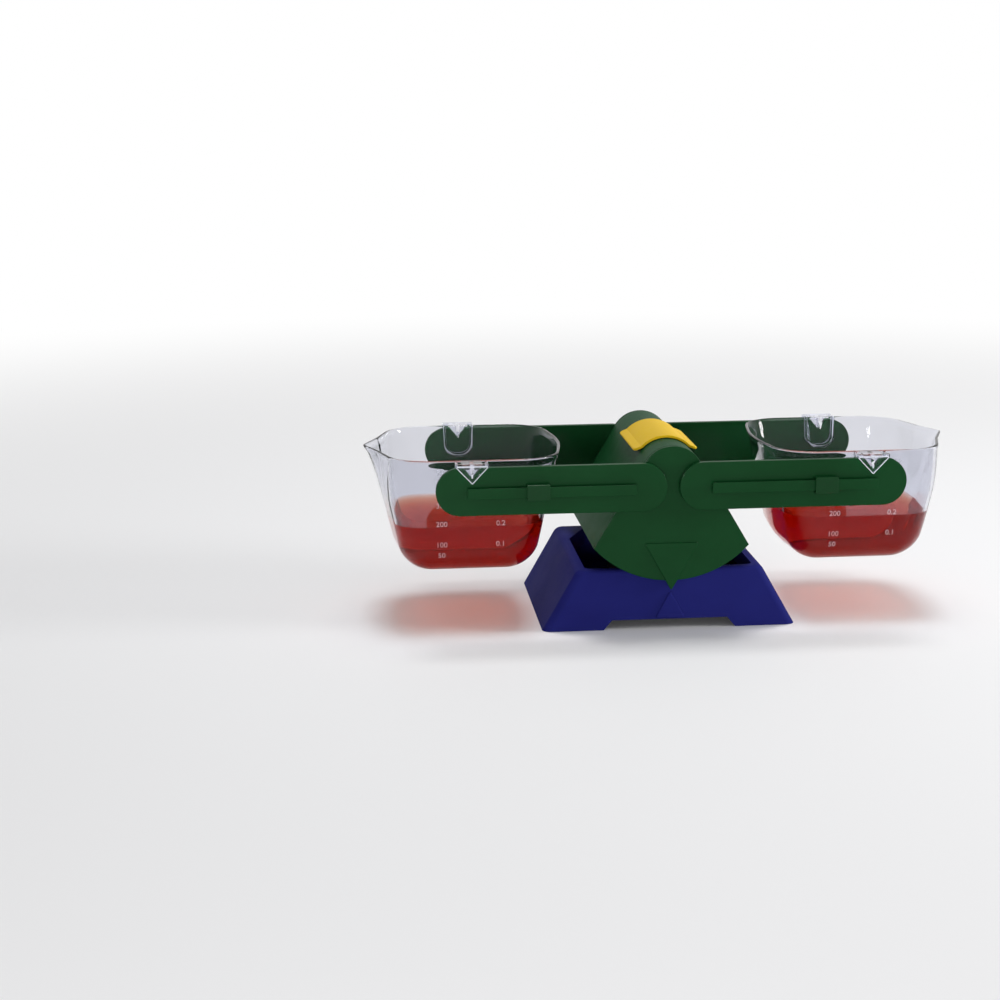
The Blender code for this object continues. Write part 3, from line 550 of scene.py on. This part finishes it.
def blue_base():
    """Hollow base: outer skin with a rounded top edge, hollow, opening with a lip, foot notches, bosses
    with screw holes and two marks. A cutter stands a little past what it cuts."""
    turn = np.linspace(0, np.pi / 2, 8)
    heights = np.concatenate([[0.0], BASE_HEIGHT - BASE_RIM_ROUND * (1 - np.sin(turn))])
    draws = np.concatenate([[0.0], BASE_RIM_ROUND * (1 - np.cos(turn))])
    shell = skin("blue_base", placed([base_outline(h, d) for h, d in zip(heights, draws)], heights, "Z"))
    roof, wall = BASE_HEIGHT - BASE_WALL, BASE_WIDTH / 2
    hollow = skin("hollow", placed([base_outline(h, BASE_WALL) for h in (-1.0, roof)], (-1.0, roof), "Z"))
    shell = merged(shell, cuts=[hollow])
    places = [(x, y) for x in (-BOSS_X, BOSS_X) for y in (-BOSS_Y, BOSS_Y)]
    bosses = [upright("boss", disc(x, y, BOSS_RADIUS), BOSS_LOW, BOSS_LOW + BOSS_HEIGHT, edge=0.3)
              for x, y in places]
    holes = [upright("hole", disc(x, y, HOLE_RADIUS), BOSS_LOW - 1, BOSS_LOW + HOLE_DEPTH)
             for x, y in places]
    mark = rounded(symmetric([(MARK_HALF, MARK_TOP - MARK_HEIGHT, 0.9), (0, MARK_TOP, 0.75)]), 4)
    marks = [bar("mark", mark, side * (wall + MARK_RAISE), side * (wall - 0.8), edge=0.7, lift=0)
             for side in (-1, 1)]
    opening = rounded(symmetric([
        (OPENING_HALF_LENGTH, -OPENING_HALF_WIDTH, OPENING_ROUND),
        (OPENING_HALF_LENGTH, OPENING_HALF_WIDTH - REAR_CUT_Y, OPENING_ROUND),
        (OPENING_HALF_LENGTH - REAR_CUT_X, OPENING_HALF_WIDTH, OPENING_ROUND)]), 6)
    lip = upright("lip", inset(opening, -LIP_WALL), roof - LIP_DEPTH, roof + 0.5)
    slope = (NOTCH_LOW - NOTCH_HIGH) / NOTCH_HEIGHT
    notch = rounded(symmetric([(NOTCH_LOW + 2 * slope, -2, 0.1), (NOTCH_HIGH, NOTCH_HEIGHT, 0.8)]), 4)
    cutters = holes + [upright("opening", opening, roof - LIP_DEPTH - 1, BASE_HEIGHT + 1),
                       bar("foot notch", notch, -wall - 2, wall + 2, edge=0, lift=0)]
    shell = merged(shell, bosses + marks + [lip], cutters)
    finished(applied(softened(shell, 0.35, 50)), BLUE, "base", ["base_shell"])


# Beam

def fan_corner(radius, length):
    """Where a side that leaves the drum at a tangent ends after the given length."""
    return (radius * np.cos(FAN_LEAN) + length * np.sin(FAN_LEAN),
            radius * np.sin(FAN_LEAN) - length * np.cos(FAN_LEAN))


def arch(radius, length, steps=48):
    """Open line up one straight side, over the drum and down the other side."""
    angle = np.linspace(FAN_LEAN, np.pi - FAN_LEAN, steps + 1)
    right = fan_corner(radius, length)
    return np.concatenate([[right], np.stack([radius * np.cos(angle), radius * np.sin(angle)], -1),
                           [(-right[0], right[1])]])


def arch_strip(radius, wall, length):
    """Outline of a wall that follows the arch."""
    return np.concatenate([arch(radius, length), arch(radius - wall, length)[::-1]])


# From where a straight side leaves the drum to the fan's rim
SIDE_LENGTH = float(np.sqrt(FAN_RADIUS ** 2 - DRUM_RADIUS ** 2))


def green_housing():
    """Drum wall with two straight sides, carried from plate to plate."""
    strip = arch_strip(DRUM_RADIUS, HOUSING_WALL, SIDE_LENGTH)
    wall = bar("green_housing", strip, -HOUSING_HALF, HOUSING_HALF, edge=0.25)
    finished(wall, GREEN, "beam", ["housing"])


def fan_plate(name, side, node):
    """Fan plate: rounded outer edge, raised pointer, rib and knife socket inside, screw holes."""
    right = fan_corner(DRUM_RADIUS, SIDE_LENGTH)
    low = np.arctan2(right[1], right[0])
    rim = np.linspace(np.pi - low, 2 * np.pi + low, 60)[1:-1]
    fan = np.concatenate([arch(DRUM_RADIUS, SIDE_LENGTH),
                          np.stack([FAN_RADIUS * np.cos(rim), FAN_RADIUS * np.sin(rim)], -1)])
    plate = bar(name, fan, -PLATE_OUTER, -PLATE_INNER, edge=0.5)
    pointer = rounded(symmetric([(0, POINTER_TIP, 0.75), (POINTER_HALF, POINTER_TOP, 0.9)]), 5)
    rib = arch_strip(DRUM_RADIUS - HOUSING_WALL - 0.3, 1.6, SIDE_LENGTH - 5)
    socket = rounded(symmetric([(2.3, 5.3, 0.2), (2.3, 2.97, 0.35), (4.5, 2.97, 0.4), (4.5, 7.5, 0.8)]), 3)
    root = -PLATE_INNER - 0.6
    adds = [bar("pointer", pointer, -PLATE_OUTER - POINTER_RAISE, -PLATE_INNER, edge=0.7),
            bar("rib", rib, -PLATE_INNER + 2.5, root, edge=0.3),
            bar("socket", socket, -PLATE_INNER + 5, root, edge=0.2)]
    holes = [bar("hole", disc(end * x, z, HOLE_RADIUS), -PLATE_OUTER - 1, -PLATE_INNER + 1, edge=0)
             for end in (-1, 1) for x, z in PLATE_HOLES]
    plate = mirrored(merged(plate, adds, holes), y=-side)
    finished(plate, POLISHED, "beam", [node])


def arm_outline():
    """Round ends and a notch; the notch's outer side runs up until it meets the circle of the end.
    The notch's round foot lies 0.3 mm below the bucket's hinge, and the sides' corner a little lower."""
    radius = ARM_HEIGHT / 2
    low, high = -ARM_DROP - radius, -ARM_DROP + radius
    apex = np.array([HANGER_X, HINGE_RISE - 0.3 - 0.5 * (1 / np.sin(NOTCH_ANGLE) - 1)])
    side = np.array([np.sin(NOTCH_ANGLE), np.cos(NOTCH_ANGLE)])
    centre = np.array([ARM_FAR - radius, -ARM_DROP])
    reach = (centre - apex) @ side
    shoulder = apex + side * (reach + np.sqrt(reach ** 2 + radius ** 2 - (centre - apex) @ (centre - apex)))
    stop = np.arctan2(*(shoulder - centre)[::-1])
    turn = np.linspace(-np.pi / 2, stop - 0.06, 40)
    outer_end = np.stack([centre[0] + radius * np.cos(turn), centre[1] + radius * np.sin(turn)], -1)
    half = (high - apex[1]) * np.tan(NOTCH_ANGLE)
    top = corner_arcs([(*outer_end[-1], 0), (*shoulder, 1.2), (*apex, 0.5), (HANGER_X - half, high, 1.2),
                       (ARM_NEAR, high, radius), (ARM_NEAR, low, radius), (*outer_end[0], 0)], 16)
    return distinct(np.concatenate([outer_end, top[17:-17]]))


def green_arm(name, side, end, node):
    """Flat arm with round ends, a notch in its top edge and a T-shaped rail on its outer face."""
    arm = bar(name, arm_outline(), -ARM_OUTER_FACE, -ARM_INNER_FACE, edge=0.45)
    rail = rounded(about_rail([(-RAIL_FACE, RAIL_HALF, 0.45), (-RAIL_WEB_FACE, RAIL_HALF, 0.4),
                               (-RAIL_WEB_FACE, RAIL_WEB_HALF, 0.2),
                               (-ARM_OUTER_FACE + 0.8, RAIL_WEB_HALF, 0.4)]), 3)
    arm = merged(arm, [bar("rail", rail, RAIL_START, RAIL_END, "X", 0.3)])
    mirrored(arm, x=end, y=-side)
    finished(arm, POLISHED, "beam", [node])


def rider(name, centre, node, body):
    """Sliding clip: a C-shaped section round the rail's head, carried along the rail."""
    inner, claw, back = -RAIL_FACE - RIDER_PLAY, -RAIL_WEB_FACE + RIDER_PLAY, -ARM_OUTER_FACE - 0.3
    head, web = RAIL_HALF + RIDER_PLAY, RAIL_WEB_HALF + RIDER_PLAY
    section = rounded(about_rail([
        (inner, head, 0.2), (claw, head, 0.2), (claw, web, 0.4), (back, web, 0.4),
        (back, head + RIDER_WALL, 0.5), (inner - RIDER_WALL, head + RIDER_WALL, 0.95)]), 4)
    clip = bar(name, section, centre - RIDER_HALF, centre + RIDER_HALF, "X", 0.35)
    finished(clip, GLOSSY, body, [node])


def yellow_saddle():
    """Band over the drum: a strip round an arc, straight in its flared lips, whose corners are rounded.
    Each row is one closed section: out along the right half, round the lip's tip, back inside and over
    to the left. Near the band's ends the sections get thinner, and shorter by the lips' round corners."""
    middle, thick = (SADDLE_INNER + SADDLE_OUTER) / 2, SADDLE_OUTER - SADDLE_INNER
    edge, corner = SADDLE_EDGE, SADDLE_CORNER
    turn = np.linspace(0, np.pi / 2, 9)
    near = np.concatenate([edge * (1 - np.cos(turn[::4])), edge + (corner - edge) * (1 - np.cos(turn[1:]))])
    draw = np.concatenate([edge * (1 - np.sin(turn[::4])), np.zeros(8)])
    cut = corner - np.sqrt(corner ** 2 - (corner - np.minimum(near, corner)) ** 2)
    along = np.concatenate([SADDLE_FRONT + near, SADDLE_REAR - near[::-1]])
    draw, cut = np.concatenate([draw, draw[::-1]]), np.concatenate([cut, cut[::-1]])
    arc_half, lean = middle * SADDLE_SPAN, SADDLE_FLARE - SADDLE_SPAN
    heading, outward = np.array([np.cos(lean), np.sin(lean)]), np.array([-np.sin(lean), np.cos(lean)])
    reach = arc_half + SADDLE_LIP - thick / 2 - cut
    over = np.broadcast_to(np.linspace(0, arc_half, 25), (len(along), 25))
    run = np.concatenate([over, np.linspace(arc_half, reach, 9).T[:, 1:]], 1)
    angle, past = np.minimum(run, arc_half) / middle, np.maximum(run - arc_half, 0)[..., None]
    radial = np.stack([np.sin(angle), np.cos(angle)], -1)
    line = middle * radial + past * heading
    normal = np.where(past > 0, outward, radial)
    half = (thick / 2 - draw)[:, None, None]
    round_tip = np.linspace(np.pi / 2, -np.pi / 2, 9)[1:-1, None]
    tip = line[:, -1:] + half * (np.cos(round_tip) * heading + np.sin(round_tip) * outward)
    right = np.concatenate([line + half * normal, tip, (line - half * normal)[:, ::-1]], 1)
    left = right[:, -2:0:-1] * (-1, 1)
    band = skin("yellow_band", placed(np.concatenate([right, left], 1), along, "Y", PIVOT))
    finished(band, YELLOW, "saddle", ["zero_saddle"])


# Buckets

def bucket_outline(drop, draw, steps=10):
    """Bucket's outline at a depth below the rim, all in by the draw. Its half width and half length fall
    evenly with the depth. The inner end is a shallow bulge, and the outer one is drawn out to a spout
    that fades with the depth to the power of 1.5. The corners get tighter as they go down."""
    spout = max(0.0, 1 - max(drop, 0) / SPOUT_DEPTH) ** 1.5
    half_width = RIM_HALF_WIDTH - WIDTH_TAPER * drop - draw
    half_length = RIM_HALF_LENGTH - LENGTH_TAPER * drop - draw
    bulge = RIM_BULGE - (RIM_BULGE - FOOT_BULGE) * drop / BUCKET_DEPTH
    tip = half_length + bulge + spout * (SPOUT_TIP - RIM_HALF_LENGTH - RIM_BULGE)
    shoulder = half_length + spout * (SPOUT_SHOULDER - RIM_HALF_LENGTH)
    neck = tip - (tip - shoulder) * SPOUT_HALF / half_width - 0.2 - spout * 1.2
    corner = max(RIM_CORNER - CORNER_LOSS * np.clip(drop / CORNER_REACH, 0, 1) - draw, 1.8)
    blunt = 60 - spout * 55
    return corner_arcs([
        (-half_length - bulge, 0, BULGE_ROUND), (-half_length, -half_width, corner),
        (shoulder, -half_width, corner), (neck, -SPOUT_HALF, SPOUT_ROUND), (tip, 0, blunt),
        (neck, SPOUT_HALF, SPOUT_ROUND), (shoulder, half_width, corner),
        (-half_length, half_width, corner)], steps)


def bowl(name, drops, draws):
    """Skin through the bucket's outlines, one for each depth below the rim and its draw inward."""
    rows = [bucket_outline(drop, draw) for drop, draw in zip(drops, draws)]
    return skin(name, placed(rows, RIM_RISE + PIVOT - np.asarray(drops), "Z") + (HANGER_X, 0, 0))


def bottom_round(depth, radius, draw, steps=14):
    """Depths and draws of a wall that turns inward by a quarter round at its foot."""
    turn = np.linspace(0, np.pi / 2, steps)
    return depth - radius * (1 - np.sin(turn)), draw + radius * (1 - np.cos(turn))


def clear_bucket(name, end, node, body):
    """Tapered bucket with a spout, a round lip that swells a little and a hanger on each long side: the
    outer form less the hollow, both drawn in by quarter rounds at the lip and at the foot."""
    turn = np.linspace(0, np.pi / 2, 7)
    swell = np.linspace(0, np.pi, 9)[1:]
    low, drawn = bottom_round(BUCKET_DEPTH, FOOT_ROUND, WALL_DRAW)
    sides = np.linspace(7, BUCKET_DEPTH - FOOT_ROUND, 20)[:-1]
    lip = LIP_ROUND * (1 - np.cos(turn))
    outer = bowl(name, np.concatenate([lip, LIP_ROUND + swell / np.pi * LIP_REACH, sides, low]),
                 np.concatenate([LIP_ROUND * (1 - np.sin(turn)), WALL_DRAW / 2 * (1 - np.cos(swell)),
                                 np.full(len(sides), WALL_DRAW), drawn]))
    low, drawn = bottom_round(BUCKET_DEPTH - FLOOR_WALL, FOOT_ROUND - FLOOR_WALL, HOLLOW_DRAW)
    wall = np.linspace(LIP_ROUND, BUCKET_DEPTH - FOOT_ROUND, 24)[1:-1]
    under_lip = LIP_DRAW + LIP_ROUND
    spread = under_lip + (HOLLOW_DRAW - under_lip) * np.clip((wall - LIP_ROUND) / LIP_REACH, 0, 1)
    hollow = bowl("hollow", np.concatenate([[-1.0], lip, wall, low]),
                  np.concatenate([[LIP_DRAW], LIP_DRAW + LIP_ROUND * np.sin(turn), spread, drawn]))
    adds, cuts = hanger(-1)
    more_adds, more_cuts = hanger(1)
    bucket = merged(outer, adds + more_adds, [hollow] + cuts + more_cuts)
    mirrored(bucket, x=end)
    finished(bucket, CLEAR, body, [node], np.radians(28))


def hanger_painted_highlights(name, end, body):
    """Painted highlights of the hangers: thin whitish, half-clear strips that stand for bright edge lines
    along the rib's U, along the flange's V and its shelf, and down the knife's end."""
    top, shelf_top = RIM_RISE - 0.1, RIM_RISE - 2.1
    line = rounded(u_band([(RIB_TOP_HALF, top, 0.1), (RIB_HALF, RIB_LOW, RIB_ROUND)],
                          [(8.25, -6.85, 7.0), (8.95, top, 0.1)]), 10)
    point = rounded([(9.35, shelf_top, 0.12), (0, 0.3, 0.5), (-9.35, shelf_top, 0.12),
                     (-8.75, shelf_top, 0.12), (0, 1.0, 0.2), (8.75, shelf_top, 0.12)], 3)
    shelf = rounded(symmetric([(8.9, RIM_RISE - 2.0, 0.2), (8.9, RIM_RISE - 1.2, 0.2)]), 3)
    tip = rounded(symmetric([(0.45, HINGE_RISE - 0.2, 0.3), (0.45, HINGE_RISE + 2.2, 0.3)]), 4)
    shapes = ((line, -ARM_INNER_FACE + 1.6, -ARM_INNER_FACE + 0.3),
              (point, HANGER_BACK - 1.4, HANGER_BACK - 2.05),
              (shelf, HANGER_BACK - 1.4, HANGER_BACK - 2.1),
              (tip, HANGER_BACK - 0.9, HANGER_BACK - 1.5))
    highlight_strips, *others = [mirrored(at_hanger(bar(name, outline, start, stop, edge=0.1)), y=-side)
                      for side in (-1, 1) for outline, start, stop in shapes]
    merged(highlight_strips, others)
    finished(mirrored(highlight_strips, x=end), PAINTED_HIGHLIGHT, body)


def hanger(side):
    """U-shaped rib on the wall, plate and knife across the arm, and a pointed flange with a raised
    border: the solids to add and the one to cut."""
    root, top = -RIM_HALF_WIDTH + 7, RIM_RISE - 0.05
    rib = rounded(u_band([(RIB_TOP_HALF, top, 0.7), (RIB_HALF, RIB_LOW, RIB_ROUND)],
                         [(RIB_HALF - RIB_WALL, RIB_LOW + RIB_WALL, 6.2),
                          (RIB_TOP_HALF - RIB_WALL, top, 0.7)]), 10)
    plate = rounded(symmetric([(6, RIM_RISE - 1.2, 0.3), (6, RIM_RISE - 0.1, 0.3)]), 3)
    knife = rounded(symmetric([(0, HINGE_RISE, 0.15), (1.2, HINGE_RISE + 1.2 / np.tan(np.radians(17)), 0.8),
                               (1.2, RIM_RISE - 0.4, 0.1)]), 4)
    flange = rounded(symmetric([(0, 0, 0.6), (9.6, RIM_RISE - 2, 0.8), (9.6, RIM_RISE, 0.4)]), 5)
    pocket = rounded(symmetric([(0, 1.45, 0.4), (7.7, RIM_RISE - 2.6, 0.5)]), 4)
    adds = (("rib", rib, root, -ARM_INNER_FACE + 0.4, 0.65),
            ("plate", plate, root + 0.2, HANGER_BACK - 0.6, 0.0),
            ("knife", knife, root + 0.4, HANGER_BACK - 0.7, 0.0),
            ("flange", flange, HANGER_BACK, HANGER_BACK - 2, 0.35))
    cuts = (("pocket", pocket, HANGER_BACK - 1.2, HANGER_BACK - 3, 0.0),)
    return [[mirrored(at_hanger(bar(part, outline, start, stop, edge=edge)), y=-side)
             for part, outline, start, stop, edge in shapes] for shapes in (adds, cuts)]


def at_hanger(thing):
    """Moves a shape built about the origin to the right bucket's hinge."""
    thing.data.transform(Matrix.Translation((HANGER_X * MM, 0, 0)))
    return thing


def red_water(name, end, body):
    """Water: the bucket's outlines from its line down to the floor, 0.1 mm into the wall."""
    top = RIM_RISE - WATER_RISE
    low, drawn = bottom_round(BUCKET_DEPTH - FLOOR_WALL + 0.1, FOOT_ROUND - FLOOR_WALL, WATER_DRAW)
    wall = np.linspace(top, BUCKET_DEPTH - FOOT_ROUND, 8)[:-1]
    drops, draws = np.concatenate([wall, low]), np.concatenate([np.full(len(wall), WATER_DRAW), drawn])
    water = mirrored(bowl(name, drops, draws), x=end)
    finished(water, WATER, body)


# Graduations: millilitres, litres and their height
LINES = (("50", "", -47.6), ("100", "0.1", -40.7), ("200", "0.2", -27.5), ("300", "0.3", -15.8),
         ("400", "0.4", -5.1), ("500", "0.5", 4.8))
COLUMNS = (-17.0, 18.0)
FIGURE_SIZE, FIGURE_RAISE = 4.6, 0.2


def figures(words):
    """A line of figures as a mesh, standing up from z = 0."""
    curve = bpy.data.curves.new("figures", "FONT")
    curve.body, curve.size, curve.extrude, curve.resolution_u = words, FIGURE_SIZE, FIGURE_RAISE, 4
    curve.align_x, curve.align_y = "CENTER", "CENTER"
    thing = linked("figures", curve)
    mesh = evaluated(thing)
    bpy.data.objects.remove(thing)
    return mesh


def raised_figures(name, end, body):
    """Plain numbers on the bucket's front wall, in millilitres and litres: each figure lies on the wall,
    which leans in evenly as it goes down and turns in by a quarter round at its foot."""
    shapes = bmesh.new()
    straight = BUCKET_DEPTH - FOOT_ROUND
    for *amounts, rise in LINES:
        for words, column in zip(amounts, COLUMNS):
            mesh = figures(words)
            flat = np.empty(len(mesh.vertices) * 3)
            mesh.vertices.foreach_get("co", flat)
            across, up, out = flat.reshape(-1, 3).T
            drop = RIM_RISE - rise - up
            sunk = np.clip((drop - straight) / FOOT_ROUND, 0, 1)
            wall = (-(RIM_HALF_WIDTH - WIDTH_TAPER * drop - WALL_DRAW)
                    + FOOT_ROUND * (1 - np.sqrt(1 - sunk ** 2)))
            points = np.stack([across + column + end * HANGER_X, wall - out, rise + up + PIVOT], -1)
            mesh.vertices.foreach_set("co", (points * MM).ravel())
            shapes.from_mesh(mesh)
    bmesh.ops.remove_doubles(shapes, verts=shapes.verts, dist=2e-6)
    bmesh.ops.recalc_face_normals(shapes, faces=shapes.faces)
    whole = bpy.data.meshes.new(name)
    shapes.to_mesh(whole)
    shapes.free()
    finished(linked(name, whole), FIGURES, body)


def shown_nodes():
    """The small parts that stay as packed: softened edges and their own materials."""
    kinds = {"pivot_frame": (DARK, 0.4), "bearing_front": (WHITE, 0.25), "bearing_rear": (WHITE, 0.25),
             "knife_bar": (STEEL, 0.12)}
    for number in range(1, 5):
        for node in (f"frame_screw_{number}", f"arm_screw_front_{number}", f"arm_screw_rear_{number}"):
            kinds[node] = (STEEL, 0.15)
    for node, (material, width) in kinds.items():
        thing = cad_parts[node]
        for slot in thing.material_slots:
            slot.material = material
        weld = thing.modifiers.new("weld", "WELD")
        weld.merge_threshold = 0.000002
        softened(thing, width, 40)


# Everything, in the order in which it is made

camera()
studio()
pale_floor()
blue_base()
green_housing()
yellow_saddle()
for side, side_name in SIDES:
    fan_plate(f"green_fan_{side_name}", side, f"{side_name}_plate")
    for end, end_name in ENDS:
        green_arm(f"green_arm_{side_name}_{end_name}", side, end, f"arm_{side_name}_{end_name}")
rider("green_rider_left", RIDER_LEFT, "rider_left", "left_rider")
rider("green_rider_right", RIDER_RIGHT, "rider_right", "right_rider")
for end, end_name in ENDS:
    clear_bucket(f"clear_bucket_{end_name}", end, f"bucket_{end_name}", f"{end_name}_bucket")
    # Painted highlights: whitish strips along the hangers' edges
    hanger_painted_highlights(f"hanger_painted_highlights_{end_name}", end, f"{end_name}_bucket")
    red_water(f"red_water_{end_name}", end, f"{end_name}_bucket")
    raised_figures(f"raised_figures_{end_name}", end, f"{end_name}_bucket")
shown_nodes()
